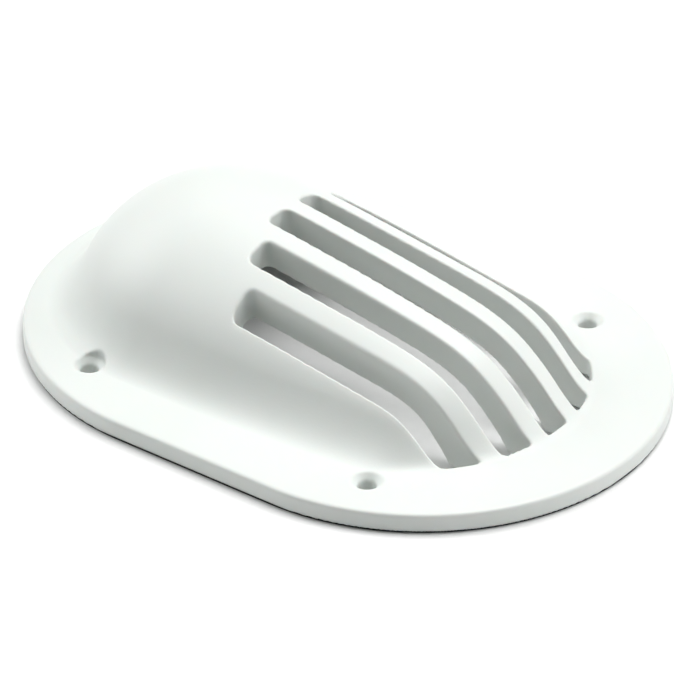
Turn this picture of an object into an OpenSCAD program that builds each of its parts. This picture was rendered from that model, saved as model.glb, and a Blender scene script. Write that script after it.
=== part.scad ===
// Slotted cowl vent for a boat: a one-piece plastic moulding on a foam gasket.
// +X points to the low front end, where the slots run out, and +Z is up.
// The origin is the centre of the flange's outline, on the mounting face.

/* [Flange] */
// Length of the flange, from its rear end to its front end
flange_length = 165; // [155:1:185]
// Width of the flange
flange_width = 120; // [112:1:130]
// Height of the flange's top face above the mounting face
flange_height = 5.2; // [4.8:0.1:6.5]
// Radius along the flange's upper edge
rim_radius = 1.0; // [0.4:0.1:1.2]

/* [Dome] */
// Height of the ridge above the flange, at the middle of the flange
ridge_height = 26.3; // [22:0.1:28]
// Angle at which the ridge falls towards the front
ridge_fall = 8.2; // [5:0.1:9]
// Front end of the dome, where its nose meets the flange
nose_tip = 61.8; // [60:0.1:63]
// Radius of the nose as seen from the side
nose_radius = 59; // [56:1:62]
// Radius of the nose's tip as seen from above
nose_plan_radius = 30; // [28:0.5:34]
// Half width of the dome's elliptical section, at the rear
dome_half_width = 38; // [35:0.5:38.5]
// Angle at which each side of the dome draws in towards the front
side_taper = 5; // [4:0.5:6.5]
// Place along the ridge where the rounded rear end starts
tail_start = -34; // [-36:1:-30]

/* [Walls] */
// Thickness of the dome's wall
wall = 2.6; // [2.2:0.1:3]
// Depth of the ribs between the slots
rib_depth = 7.2; // [6:0.1:7.5]

/* [Slots] */
// Distance between the middles of two slots
slot_pitch = 12.85; // [12:0.05:13]
// Width of one slot
slot_width = 7.4; // [6:0.1:8]
// Rear ends of the slots, from the near side to the far side
slot_starts = [-12, -17, -21, -22, -22.5];
// Radius of the corners at the rear end of a slot
slot_corner = 2.2; // [1:0.1:3]
// Front end of the middle slot
slot_tip = 62.5; // [61:0.1:63.5]
// Radius of the arc on which the slots end, as seen from above
slot_tip_radius = 41.5; // [40:0.5:46]

/* [Screw holes] */
// Distance between the screw holes along the flange
hole_spacing_x = 83; // [80:1:86]
// Distance between the screw holes across the flange
hole_spacing_y = 88; // [86:1:92]
// Place of the hole pattern's middle along the flange
hole_middle_x = -2; // [-3:0.5:0]
// Diameter of the screw holes
hole_diameter = 4.5; // [4:0.1:5]
// Diameter of the countersinks
countersink_diameter = 7.6; // [7:0.1:9]

/* [Gasket] */
// Thickness of the gasket under the flange
gasket_thickness = 0.5; // [0.4:0.1:1]
// Width of the gasket
gasket_width = 5; // [4:0.5:5.5]
// Distance from the flange's edge to the gasket
gasket_inset = 0.5; // [0.3:0.1:1]

/* [Hidden] */

$fn = 96;
spokes = 72;
rim_steps = 3;
end_radius = flange_width / 2;
end_offset = (flange_length - flange_width) / 2;
// Fractions of the way from the flange's middle to its edge
rings = [0.1, 0.2, 0.29, 0.37, 0.44, 0.5, 0.55, 0.6, 0.65, 0.7, 0.75, 0.8, 0.85, 0.9, 0.95, 1];
// Inset of the racetrack that the hollow's cutting shape reaches
hollow_inset = 9;

// The ridge levels out at the rear, at this height and this softly
ridge_top = ridge_height + 4.3;
ridge_softness = 3;
// Sines of the nose's angle of fall, where its arc starts and where it ends
nose_start_sine = 0.28;
nose_end_sine = 0.82;
// How softly the nose meets the ridge and the sides
nose_softness = 5;
// Steepest part of the section's ellipse, as a fraction of its half width
section_limit = 0.93;
// Where the sides start to draw in, and how softly
taper_start = -12;
taper_softness = 20;
// How softly the dome meets the flange, at the sides and at the front
side_fillet = 9;
nose_fillet = 6;
fillet_change = [20, 55];
// Step over which the dome's slope is measured
slope_step = 0.05;
// How far a cut runs past what it cuts
clearance = 1;
// Lowest level of the hollow's cutting shape, and a height that cuts everything above it
hollow_floor = -4;
cut_height = ridge_top + flange_height - hollow_floor + 2 * clearance;
// Thickness of the edge around the slotted area, as deep as the ribs
slot_edge = 3;

function soft_gap(a, b, softness) = max(softness - abs(a - b), 0) / softness;
function soft_max(a, b, softness) =
    max(a, b) + pow(soft_gap(a, b, softness), 2) * softness / 4;
function soft_min(a, b, softness) =
    min(a, b) - pow(soft_gap(a, b, softness), 2) * softness / 4;
function mix(a, b, part) = a + (b - a) * min(max(part, 0), 1);

// The ridge falls evenly to the front and levels out at the rear
function ridge(x) = soft_min(ridge_height - tan(ridge_fall) * x, ridge_top, ridge_softness);

// The nose is an arc as seen from the side, with its tangents before and after it
nose_x = nose_tip - nose_end_sine * nose_radius;
nose_z = -sqrt(1 - pow(nose_end_sine, 2)) * nose_radius;
function nose_arc(sine) = nose_z + sqrt(1 - sine * sine) * nose_radius;
function nose(x) =
    let (sine = (x - nose_x) / nose_radius, held = min(max(sine, nose_start_sine), nose_end_sine))
    nose_arc(held) - (sine - held) * nose_radius * held / sqrt(1 - held * held);

// The section is an ellipse, then the ellipse's last tangent
section_end = sqrt(1 - pow(section_limit, 2));
function section(part) =
    part < section_limit ? sqrt(1 - part * part)
    : section_end - section_limit / section_end * (part - section_limit);

// Seen from above, the front end is a parabola and the rear end is a half circle
function draw_back(y) = y * y / (2 * nose_plan_radius);
function side_distance(x, y) = x > tail_start ? abs(y) : norm([x - tail_start, y]);
function half_width(x) =
    dome_half_width - tan(side_taper) * soft_max(x - taper_start, 0, taper_softness);
function body(x, y) = ridge(x) * section(side_distance(x, y) / half_width(x));
function dome(x, y) = soft_min(body(x, y), nose(x + draw_back(y)), nose_softness);
function fillet(x) =
    mix(side_fillet, nose_fillet, (x - fillet_change[0]) / (fillet_change[1] - fillet_change[0]));
function top_height(x, y) = flange_height + soft_max(dome(x, y), 0, fillet(x));

// The dome alone, which runs on down through the flange
function dome_height(x, y) = flange_height + dome(x, y);
function dome_slope(x, y) = [
    (dome_height(x + slope_step, y) - dome_height(x - slope_step, y)) / (2 * slope_step),
    (dome_height(x, y + slope_step) - dome_height(x, y - slope_step)) / (2 * slope_step)
];
// A point of the dome moved straight in by a depth, but no lower than just under the mounting face
function sunk_point(x, y, depth) =
    let (
        s = dome_slope(x, y),
        point = [x, y, dome_height(x, y)] + depth * [s[0], s[1], -1] / norm([s[0], s[1], 1])
    )
    [point[0], point[1], max(point[2], -clearance)];

// Distance from the middle to a racetrack that lies inside the flange's edge
function reach(angle, inset) =
    let (half_width = end_radius - inset, flat = half_width / max(abs(sin(angle)), 0.001))
    abs(flat * cos(angle)) < end_offset ? flat
    : end_offset * abs(cos(angle)) + sqrt(pow(half_width, 2) - pow(end_offset * sin(angle), 2));
function track_point(angle, inset, part) = part * reach(angle, inset) * [cos(angle), sin(angle)];
angles = [for (i = [0 : spokes - 1]) 360 * i / spokes];
function level_ring(inset, z) = [for (a = angles) concat(track_point(a, inset, 1), z)];
function top_ring(part) =
    [for (a = angles) let (p = track_point(a, rim_radius, part)) concat(p, top_height(p[0], p[1]))];
function sunk_ring(part, depth) =
    [for (a = angles) let (p = track_point(a, hollow_inset, part)) sunk_point(p[0], p[1], depth)];

// A closed solid through a stack of rings, with a point at its top and its bottom
module ring_stack(top, stack, bottom) {
    count = len(stack);
    last = 1 + count * spokes;
    points = concat([top], [for (ring = stack, point = ring) point], [bottom]);
    top_faces = [for (i = [0 : spokes - 1]) [0, 1 + (i + 1) % spokes, 1 + i]];
    bottom_start = 1 + (count - 1) * spokes;
    bottom_faces = [for (i = [0 : spokes - 1]) [last, bottom_start + i, bottom_start + (i + 1) % spokes]];
    side_faces = [
        for (r = [0 : count - 2], i = [0 : spokes - 1], half = [0, 1])
            let (here = 1 + r * spokes, next = here + spokes, j = (i + 1) % spokes)
            half == 0 ? [here + i, here + j, next + j] : [here + i, next + j, next + i]
    ];
    polyhedron(points, concat(top_faces, side_faces, bottom_faces));
}

// The outside of the moulding: the top face, the rounded edge and the flange's foot
module outer_form() {
    rim_angles = [for (i = [1 : rim_steps]) 90 * i / rim_steps];
    edge = [
        for (a = rim_angles)
            level_ring(rim_radius * (1 - sin(a)), flange_height - rim_radius * (1 - cos(a)))
    ];
    foot = [level_ring(0, gasket_thickness)];
    top_rings = [for (part = rings) top_ring(part)];
    ring_stack([0, 0, top_height(0, 0)], concat(top_rings, edge, foot), [0, 0, gasket_thickness]);
}

// Everything under the dome that lies deeper than a given depth
module hollow_form(depth) {
    ring_stack(
        sunk_point(0, 0, depth),
        concat([for (part = rings) sunk_ring(part, depth)], [level_ring(hollow_inset, hollow_floor)]),
        [0, 0, hollow_floor]
    );
}

slot_count = len(slot_starts);
function slot_y(i) = (i - (slot_count - 1) / 2) * slot_pitch;

// Everything behind the arc on which the slots end, moved forward by a distance
module behind_tips(forward) {
    translate([slot_tip - slot_tip_radius + forward, 0]) circle(slot_tip_radius);
    translate([-end_offset, 0]) square([2 * end_offset, 2 * slot_tip_radius], center = true);
}

// One slot seen from above, with rounded corners at its rear end
module slot_outline(start) {
    corner_y = slot_width / 2 - slot_corner;
    for (side = [-1, 1]) translate([start + slot_corner, side * corner_y]) circle(slot_corner);
    translate([start, -corner_y]) square([slot_corner, 2 * corner_y]);
    translate([start + slot_corner, -slot_width / 2]) square([slot_tip - start, slot_width]);
}

module slots() {
    translate([0, 0, hollow_floor - clearance])
        linear_extrude(cut_height)
            intersection() {
                for (i = [0 : slot_count - 1]) translate([0, slot_y(i)]) slot_outline(slot_starts[i]);
                behind_tips(0);
            }
}

// The slotted area, which is thicker than the wall and leaves the ribs
module slotted_area() {
    translate([0, 0, hollow_floor])
        linear_extrude(cut_height)
            intersection() {
                for (i = [0 : slot_count - 1])
                    translate([slot_starts[i] - slot_edge, slot_y(i) - slot_width / 2 - slot_edge])
                        square([flange_length, slot_width + 2 * slot_edge]);
                behind_tips(slot_edge);
            }
}

module moulded_shell() {
    difference() {
        outer_form();
        difference() {
            hollow_form(wall);
            intersection() {
                slotted_area();
                difference() {
                    outer_form();
                    hollow_form(rib_depth);
                }
            }
        }
        slots();
    }
}

module at_screw_holes() {
    for (x = [-1, 1], y = [-1, 1])
        translate([hole_middle_x + x * hole_spacing_x / 2, y * hole_spacing_y / 2]) children();
}

module screw_hole() {
    sink_depth = (countersink_diameter - hole_diameter) / 2;
    translate([0, 0, -clearance]) cylinder(d = hole_diameter, h = flange_height + clearance);
    translate([0, 0, flange_height - sink_depth])
        cylinder(d1 = hole_diameter, d2 = countersink_diameter, h = sink_depth);
    translate([0, 0, flange_height]) cylinder(d = countersink_diameter, h = side_fillet);
}

module cowl_moulding() {
    color("white")
        difference() {
            resize([flange_length, flange_width, 0]) moulded_shell();
            at_screw_holes() screw_hole();
        }
}

module racetrack(inset) {
    for (side = [-1, 1]) translate([side * end_offset, 0]) circle(end_radius - inset);
    square(2 * [end_offset, end_radius - inset], center = true);
}

module flange_gasket() {
    color("dimgray")
        linear_extrude(gasket_thickness)
            difference() {
                racetrack(gasket_inset);
                racetrack(gasket_inset + gasket_width);
            }
}

cowl_moulding();
flange_gasket();
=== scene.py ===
"""Slotted cowl vent: the smooth moulding on its foam gasket, on a white studio floor."""
import math

import bpy
import numpy as np
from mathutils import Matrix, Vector


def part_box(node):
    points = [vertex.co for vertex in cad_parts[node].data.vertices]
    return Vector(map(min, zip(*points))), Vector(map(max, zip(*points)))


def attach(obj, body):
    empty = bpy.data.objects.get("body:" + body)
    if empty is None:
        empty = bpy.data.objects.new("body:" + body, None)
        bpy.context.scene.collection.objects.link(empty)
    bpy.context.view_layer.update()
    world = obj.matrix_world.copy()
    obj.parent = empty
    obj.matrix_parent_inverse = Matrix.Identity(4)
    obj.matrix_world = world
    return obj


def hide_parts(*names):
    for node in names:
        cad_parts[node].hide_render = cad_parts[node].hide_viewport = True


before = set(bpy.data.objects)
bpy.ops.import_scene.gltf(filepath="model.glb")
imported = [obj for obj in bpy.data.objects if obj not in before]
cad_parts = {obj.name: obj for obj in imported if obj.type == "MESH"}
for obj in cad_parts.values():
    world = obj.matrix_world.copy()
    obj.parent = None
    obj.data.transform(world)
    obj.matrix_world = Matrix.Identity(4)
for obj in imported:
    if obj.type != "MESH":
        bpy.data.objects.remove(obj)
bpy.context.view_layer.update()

MM = 0.001
low, high = [np.array(corner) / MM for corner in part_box("cowl_moulding")]
gasket_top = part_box("flange_gasket")[1][2] / MM

# ---------------------------------------------------------------- sizes of the moulding, in mm
end_radius = high[1]
end_offset = high[0] - high[1]
flange_height = 5.2
rim_radius = 1.0
wall = 2.6
rib_depth = 7.2

ridge_height = 26.3
ridge_fall = math.radians(8.2)
crown_rise = 4.3
ridge_top = ridge_height + crown_rise
ridge_softness = 3
dome_half_width = 38
side_taper = math.radians(5)
taper_start = -12
taper_softness = 20
tail_start = -34
section_limit = 0.93
nose_tip = 61.8
nose_radius = 59
nose_plan_radius = 30
nose_start_sine = 0.28
nose_end_sine = 0.82
nose_softness = 5
side_fillet = 9
nose_fillet = 6
fillet_change = (20, 55)

slot_pitch = 12.85
slot_width = 7.4
slot_starts = (-12, -17, -21, -22, -22.5)
slot_corner = 2.2
slot_tip = 62.5
slot_tip_radius = 41.5
slot_edge = 3

hole_spacing = (83, 88)
hole_middle_x = -2
hole_radius = 2.25
countersink_radius = 3.8

# Softness of the moulding's edges
slot_rounding = 0.6
front_corner_rounding = 0.8
hole_rounding = 0.35
foot_rounding = 0.5

# Softness that rounds the flange's upper edge to rim_radius
rim_rounding = 1.17 * rim_radius

# The grid that the moulding is sampled on, and how it becomes a mesh
cell = 0.55
margin = 3 * cell
kept_faces = 0.45
# Steps to each side in the search for the faces that lie inside the dome
wall_steps = 9
rib_steps = 13
# Half the distance, in cells, over which a normal is measured
normal_reach = 0.6
# How far from the rim and the countersinks the top face is held exactly
rim_clearance = 2 * rim_radius
hole_clearance = 1

# Base colours from dark to light, and roughness from low to high
plastic_colours = (0.655, 0.685, 0.66), (0.685, 0.71, 0.688)
plastic_roughness = 0.42, 0.54
plastic_ior = 1.49
# The foam's near-black is partly the gasket's own colour and partly painted shade for the dark
# shadow line under the flange's rim
foam_and_rim_shadow_colours = (0.012, 0.012, 0.013), (0.03, 0.03, 0.032)
foam_roughness = 0.8, 0.95
floor_colours = (0.80, 0.80, 0.80), (0.82, 0.82, 0.82)
floor_roughness = 0.9

# Half the floor's side, in metres
floor_reach = 4
# Name, azimuth and elevation in degrees, distance and size in metres, power in watts
soft_boxes = (
    ("overhead", 170, 72, 1.6, 1.3, 27),
    ("right", 125, 28, 1.6, 1.0, 11),
    ("left", -75, 34, 1.6, 1.3, 16),
)
world_colour = (0.93, 1.0, 0.95, 1)
world_strength = 0.12


# ---------------------------------------------------------------- the moulding's form
def gap(a, b, softness):
    return np.maximum(softness - np.abs(a - b), 0) / softness


def soft_max(a, b, softness):
    return np.maximum(a, b) + gap(a, b, softness) ** 2 * softness / 4


def soft_min(a, b, softness):
    return np.minimum(a, b) - gap(a, b, softness) ** 2 * softness / 4


def ridge(x):
    return soft_min(ridge_height - math.tan(ridge_fall) * x, ridge_top, ridge_softness)


def nose(x):
    centre_x = nose_tip - nose_end_sine * nose_radius
    centre_z = -math.sqrt(1 - nose_end_sine ** 2) * nose_radius
    sine = (x - centre_x) / nose_radius
    held = np.clip(sine, nose_start_sine, nose_end_sine)
    cosine = np.sqrt(1 - held ** 2)
    return centre_z + cosine * nose_radius - (sine - held) * nose_radius * held / cosine


def section(part):
    end = math.sqrt(1 - section_limit ** 2)
    ellipse = np.sqrt(np.maximum(1 - part ** 2, 0))
    tangent = end - section_limit / end * (part - section_limit)
    return np.where(part < section_limit, ellipse, tangent)


def draw_back(y):
    return y ** 2 / (2 * nose_plan_radius)


def dome(x, y):
    """Height of the dome over the flange; it runs on down around the dome."""
    side = np.where(x > tail_start, np.abs(y), np.hypot(x - tail_start, y))
    drawn_in = math.tan(side_taper) * soft_max(x - taper_start, 0, taper_softness)
    body = ridge(x) * section(side / (dome_half_width - drawn_in))
    return soft_min(body, nose(x + draw_back(y)), nose_softness)


def top_height(x, y):
    """Height of the top face above the mounting face."""
    part = np.clip((x - fillet_change[0]) / (fillet_change[1] - fillet_change[0]), 0, 1)
    fillet = side_fillet + (nose_fillet - side_fillet) * part
    return flange_height + soft_max(dome(x, y), 0, fillet)


def uprightness(height):
    """The z of the normals of a face given as its heights over the grid."""
    along, across = np.gradient(height, cell)
    return 1 / np.sqrt(1 + along ** 2 + across ** 2)


def sunk_height(x, y, depth, step):
    """Height of the face that lies a depth straight in from the dome."""
    lowest = np.full_like(x, np.inf)
    reach = np.arange(-math.floor(depth / step), math.floor(depth / step) + 1) * step
    for along in reach:
        for across in reach:
            rise = depth ** 2 - along ** 2 - across ** 2
            if rise >= 0:
                lowest = np.minimum(lowest, dome(x + along, y + across) - math.sqrt(rise))
    return flange_height + lowest


# ---------------------------------------------------------------- outlines, negative inside
def racetrack(x, y):
    return np.hypot(np.maximum(np.abs(x) - end_offset, 0), y) - end_radius


def behind_tips(x, y, forward):
    centre = slot_tip - slot_tip_radius + forward
    return np.hypot(np.maximum(x - centre, 0), y) - slot_tip_radius


def strips(x, y, edge, corner):
    """The slots' strips, widened by an edge, that run forward without an end."""
    nearest = np.full_like(x, np.inf)
    centre = (len(slot_starts) - 1) / 2
    for i, start in enumerate(slot_starts):
        middle = (i - centre) * slot_pitch
        across = np.abs(y - middle) - (slot_width / 2 + edge - corner)
        along = start - edge + corner - x
        outside = np.hypot(np.maximum(along, 0), np.maximum(across, 0))
        inside = np.minimum(np.maximum(along, across), 0)
        nearest = np.minimum(nearest, outside + inside - corner)
    return nearest


def hole_distance(x, y):
    from_middle = np.abs(x - hole_middle_x) - hole_spacing[0] / 2
    return np.hypot(from_middle, np.abs(y) - hole_spacing[1] / 2)


# ---------------------------------------------------------------- the moulding as a field
def moulding_field(xs, ys, zs):
    """Signed distance to the moulding's surface over a grid, negative inside."""
    x, y = np.meshgrid(xs, ys, indexing="ij")
    top = top_height(x, y)
    under = sunk_height(x, y, wall, wall / wall_steps)
    rib_foot = sunk_height(x, y, rib_depth, rib_depth / rib_steps)
    upright, under_upright, rib_upright = map(uprightness, (top, under, rib_foot))
    edge = racetrack(x, y)
    slots = soft_max(
        strips(x, y, 0, slot_corner), behind_tips(x, y, 0), front_corner_rounding
    )
    slotted = np.maximum(
        strips(x, y, slot_edge, slot_edge), behind_tips(x, y, slot_edge)
    )
    hole = hole_distance(x, y)
    field = np.empty((len(xs), len(ys), len(zs)), dtype=np.float32)
    for k, z in enumerate(zs):
        outer = soft_max((z - top) * upright, edge, rim_rounding)
        outer = soft_max(outer, gasket_top - z, foot_rounding)
        above_ribs = np.minimum(-slotted, (z - rib_foot) * rib_upright)
        hollow = np.maximum((z - under) * under_upright, above_ribs)
        shell = soft_max(outer, -hollow, foot_rounding)
        shell = soft_max(shell, -slots, slot_rounding)
        cone = (hole - countersink_radius + flange_height - z) / math.sqrt(2)
        countersink = np.maximum(cone, hole - countersink_radius)
        drill = np.minimum(hole - hole_radius, countersink)
        field[:, :, k] = soft_max(shell, -drill, hole_rounding)
    return field


def surface_net(field):
    """The field's zero surface: a point in cell units for each crossed cell, and the quads."""
    shape = np.array(field.shape) - 1
    strides = np.array([shape[1] * shape[2], shape[2], 1])
    total = np.zeros((3, shape.prod()))
    count = np.zeros(shape.prod())
    loops = []
    for axis in range(3):
        near = [slice(None)] * 3
        far = [slice(None)] * 3
        near[axis], far[axis] = slice(None, -1), slice(1, None)
        a, b = field[tuple(near)], field[tuple(far)]
        at = np.argwhere((a < 0) != (b < 0))
        a, b = a[tuple(at.T)].astype(float), b[tuple(at.T)].astype(float)
        points = at.astype(float)
        points[:, axis] += a / (a - b)
        first, second = (axis + 1) % 3, (axis + 2) % 3
        base = at @ strides
        corners = [
            base - s * strides[first] - t * strides[second]
            for s, t in ((0, 0), (1, 0), (1, 1), (0, 1))
        ]
        for cells in corners:
            count += np.bincount(cells, minlength=len(count))
            for i in range(3):
                total[i] += np.bincount(cells, weights=points[:, i], minlength=len(count))
        quads = np.stack(corners, axis=1)
        rising = a < b
        quads[~rising] = quads[~rising][:, ::-1]
        loops.append(quads)
    used = count > 0
    number = np.cumsum(used) - 1
    return (total[:, used] / count[used]).T, number[np.concatenate(loops)]


def sample(field, points):
    """The field's value between its grid points, at points in cell units."""
    base = np.clip(np.floor(points).astype(int), 0, np.array(field.shape) - 2)
    part = points - base
    value = np.zeros(len(points))
    for corner in np.ndindex(2, 2, 2):
        weight = np.prod(np.where(np.array(corner), part, 1 - part), axis=1)
        value += weight * field[tuple((base + corner).T)]
    return value


def field_normals(field, points):
    """Outward normals of the surface at points in cell units."""
    normals = np.empty_like(points)
    for axis in range(3):
        step = np.zeros(3)
        step[axis] = normal_reach
        normals[:, axis] = sample(field, points + step) - sample(field, points - step)
    return normals / np.linalg.norm(normals, axis=1, keepdims=True)


def settle(points):
    """Moves the points near the top face exactly onto it. Points are in mm."""
    x, y, z = points.T.copy()
    slots = np.maximum(strips(x, y, 0, slot_corner), behind_tips(x, y, 0))
    open_face = (slots > slot_rounding) & (racetrack(x, y) < -rim_clearance)
    open_face &= hole_distance(x, y) > countersink_radius + hole_clearance
    top = top_height(x, y)
    near_top = open_face & (np.abs(z - top) < cell)
    z[near_top] = top[near_top]
    return np.stack([x, y, z], axis=1)


def mesh_object(name, points, faces):
    mesh = bpy.data.meshes.new(name)
    mesh.vertices.add(len(points))
    mesh.vertices.foreach_set("co", points.ravel())
    mesh.loops.add(faces.size)
    mesh.loops.foreach_set("vertex_index", faces.ravel().astype(np.int32))
    mesh.polygons.add(len(faces))
    loop_starts = np.arange(0, faces.size, faces.shape[1], dtype=np.int32)
    mesh.polygons.foreach_set("loop_start", loop_starts)
    mesh.update(calc_edges=True)
    mesh.validate()
    obj = bpy.data.objects.new(name, mesh)
    bpy.context.scene.collection.objects.link(obj)
    return obj


def apply_modifiers(obj):
    evaluated = obj.evaluated_get(bpy.context.evaluated_depsgraph_get())
    mesh = bpy.data.meshes.new_from_object(evaluated)
    obj.modifiers.clear()
    obj.data = mesh


def make_moulding():
    """The moulding as one smooth mesh, with its normals taken from the field."""
    starts = np.array([low[0], low[1], 0]) - margin
    counts = np.ceil((high + margin - starts) / cell).astype(int) + 1
    axes = [start + cell * np.arange(count) for start, count in zip(starts, counts)]
    field = moulding_field(*axes)
    points, faces = surface_net(field)
    points = settle(starts + cell * points)
    obj = mesh_object("moulded_cowl", points * MM, faces)
    thin = obj.modifiers.new("thin", "DECIMATE")
    thin.ratio = kept_faces
    apply_modifiers(obj)
    mesh = obj.data
    points = np.empty(len(mesh.vertices) * 3)
    mesh.vertices.foreach_get("co", points)
    points = np.clip(points.reshape(-1, 3), low * MM, high * MM)
    mesh.vertices.foreach_set("co", points.ravel())
    normals = field_normals(field, (points / MM - starts) / cell)
    mesh.polygons.foreach_set("use_smooth", np.ones(len(mesh.polygons), dtype=bool))
    mesh.normals_split_custom_set_from_vertices(normals.tolist())
    return obj


# ---------------------------------------------------------------- materials
def new_material(name):
    material = bpy.data.materials.new(name)
    material.use_nodes = True
    nodes = material.node_tree.nodes
    return material, nodes, material.node_tree.links, nodes["Principled BSDF"]


def noise(nodes, links, coordinates, scale, detail):
    node = nodes.new("ShaderNodeTexNoise")
    node.inputs["Scale"].default_value = scale
    node.inputs["Detail"].default_value = detail
    links.new(coordinates, node.inputs["Vector"])
    return node.outputs["Fac"]


def ramp(nodes, links, value, low_colour, high_colour):
    node = nodes.new("ShaderNodeValToRGB")
    first, last = node.color_ramp.elements
    first.position, last.position = 0.3, 0.7
    first.color, last.color = (*low_colour, 1), (*high_colour, 1)
    links.new(value, node.inputs["Fac"])
    return node.outputs["Color"]


def spread(nodes, links, value, lowest, highest):
    node = nodes.new("ShaderNodeMapRange")
    node.inputs["To Min"].default_value = lowest
    node.inputs["To Max"].default_value = highest
    links.new(value, node.inputs["Value"])
    return node.outputs["Result"]


def bump(nodes, links, height, distance, strength, normal=None):
    node = nodes.new("ShaderNodeBump")
    node.inputs["Distance"].default_value = distance
    node.inputs["Strength"].default_value = strength
    links.new(height, node.inputs["Height"])
    if normal:
        links.new(normal, node.inputs["Normal"])
    return node.outputs["Normal"]


def white_plastic():
    """Satin white moulded plastic: a fine grain, a faint unevenness and a slight change of gloss."""
    material, nodes, links, shader = new_material("white_moulded_plastic")
    place = nodes.new("ShaderNodeTexCoord").outputs["Object"]
    broad = noise(nodes, links, place, 22, 3)
    grain = noise(nodes, links, place, 1400, 4)
    sink = noise(nodes, links, place, 60, 2)
    links.new(ramp(nodes, links, broad, *plastic_colours), shader.inputs["Base Color"])
    links.new(spread(nodes, links, sink, *plastic_roughness), shader.inputs["Roughness"])
    uneven = bump(nodes, links, sink, 0.0004, 0.12)
    links.new(bump(nodes, links, grain, 0.00006, 0.25, uneven), shader.inputs["Normal"])
    shader.inputs["IOR"].default_value = plastic_ior
    shader.inputs["Subsurface Weight"].default_value = 0.08
    shader.inputs["Subsurface Scale"].default_value = 0.002
    return material


def black_foam_and_rim_shadow():
    """Closed-cell foam: matt black with small cells; the black is partly the foam's own colour and
    partly painted shade for the dark shadow line under the flange's rim.
    """
    material, nodes, links, shader = new_material("black_foam_painted_rim_shadow")
    place = nodes.new("ShaderNodeTexCoord").outputs["Object"]
    cells = nodes.new("ShaderNodeTexVoronoi")
    cells.inputs["Scale"].default_value = 1800
    links.new(place, cells.inputs["Vector"])
    patches = noise(nodes, links, place, 90, 3)
    links.new(ramp(nodes, links, patches, *foam_and_rim_shadow_colours), shader.inputs["Base Color"])
    links.new(spread(nodes, links, patches, *foam_roughness), shader.inputs["Roughness"])
    pitted = bump(nodes, links, cells.outputs["Distance"], 0.0002, 0.6)
    links.new(pitted, shader.inputs["Normal"])
    return material


def floor_white():
    """Matt white paper with a faint grain."""
    material, nodes, links, shader = new_material("white_studio_floor")
    place = nodes.new("ShaderNodeTexCoord").outputs["Object"]
    paper = noise(nodes, links, place, 300, 2)
    links.new(ramp(nodes, links, paper, *floor_colours), shader.inputs["Base Color"])
    shader.inputs["Roughness"].default_value = floor_roughness
    shader.inputs["Specular IOR Level"].default_value = 0.1
    return material


# ---------------------------------------------------------------- the studio
def direction(azimuth, elevation):
    """From the object towards a place; azimuth 0 is in front of it (-Y), 90 is at +X."""
    a, e = math.radians(azimuth), math.radians(elevation)
    return Vector((math.sin(a) * math.cos(e), -math.cos(a) * math.cos(e), math.sin(e)))


def make_camera():
    """Camera right of the front and well above, with a long lens, aimed near the flange's top."""
    azimuth, elevation, distance = 37.24, 32.49, 1.786
    seen_width = 0.16659
    sensor = 36
    aim_right, aim_up = 0.43 * MM, -0.86 * MM
    back = direction(azimuth, elevation)
    turn = (-back).to_track_quat("-Z", "Y")
    aim = Vector((0, 0, flange_height * MM)) + turn @ Vector((aim_right, aim_up, 0))
    data = bpy.data.cameras.new("product_camera")
    data.sensor_width = sensor
    data.lens = sensor * distance / seen_width
    data.clip_start, data.clip_end = 0.05, 20
    camera = bpy.data.objects.new("product_camera", data)
    camera.rotation_mode = "QUATERNION"
    camera.location = aim + back * distance
    camera.rotation_quaternion = turn
    bpy.context.scene.collection.objects.link(camera)
    bpy.context.scene.camera = camera


def soft_box(name, azimuth, elevation, distance, size, power):
    data = bpy.data.lights.new(name, "AREA")
    data.shape = "DISK"
    data.size = size
    data.energy = power
    light = bpy.data.objects.new(name, data)
    towards = direction(azimuth, elevation)
    light.location = towards * distance
    light.rotation_mode = "QUATERNION"
    light.rotation_quaternion = (-towards).to_track_quat("-Z", "Y")
    bpy.context.scene.collection.objects.link(light)


def make_studio():
    floor = mesh_object(
        "studio_floor",
        floor_reach * np.array([[-1, -1, 0], [1, -1, 0], [1, 1, 0], [-1, 1, 0]], dtype=float),
        np.array([[0, 1, 2, 3]]),
    )
    floor.data.materials.append(floor_white())
    for light in soft_boxes:
        soft_box(*light)
    world = bpy.data.worlds.new("studio_world")
    world.use_nodes = True
    background = world.node_tree.nodes["Background"]
    background.inputs["Color"].default_value = world_colour
    background.inputs["Strength"].default_value = world_strength
    bpy.context.scene.world = world
    bpy.context.scene.view_settings.view_transform = "Standard"


make_camera()
make_studio()
moulding = make_moulding()
moulding.data.materials.append(white_plastic())
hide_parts("cowl_moulding")
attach(moulding, "root")
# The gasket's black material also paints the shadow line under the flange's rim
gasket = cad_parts["flange_gasket"]
gasket.data.materials.clear()
gasket.data.materials.append(black_foam_and_rim_shadow())
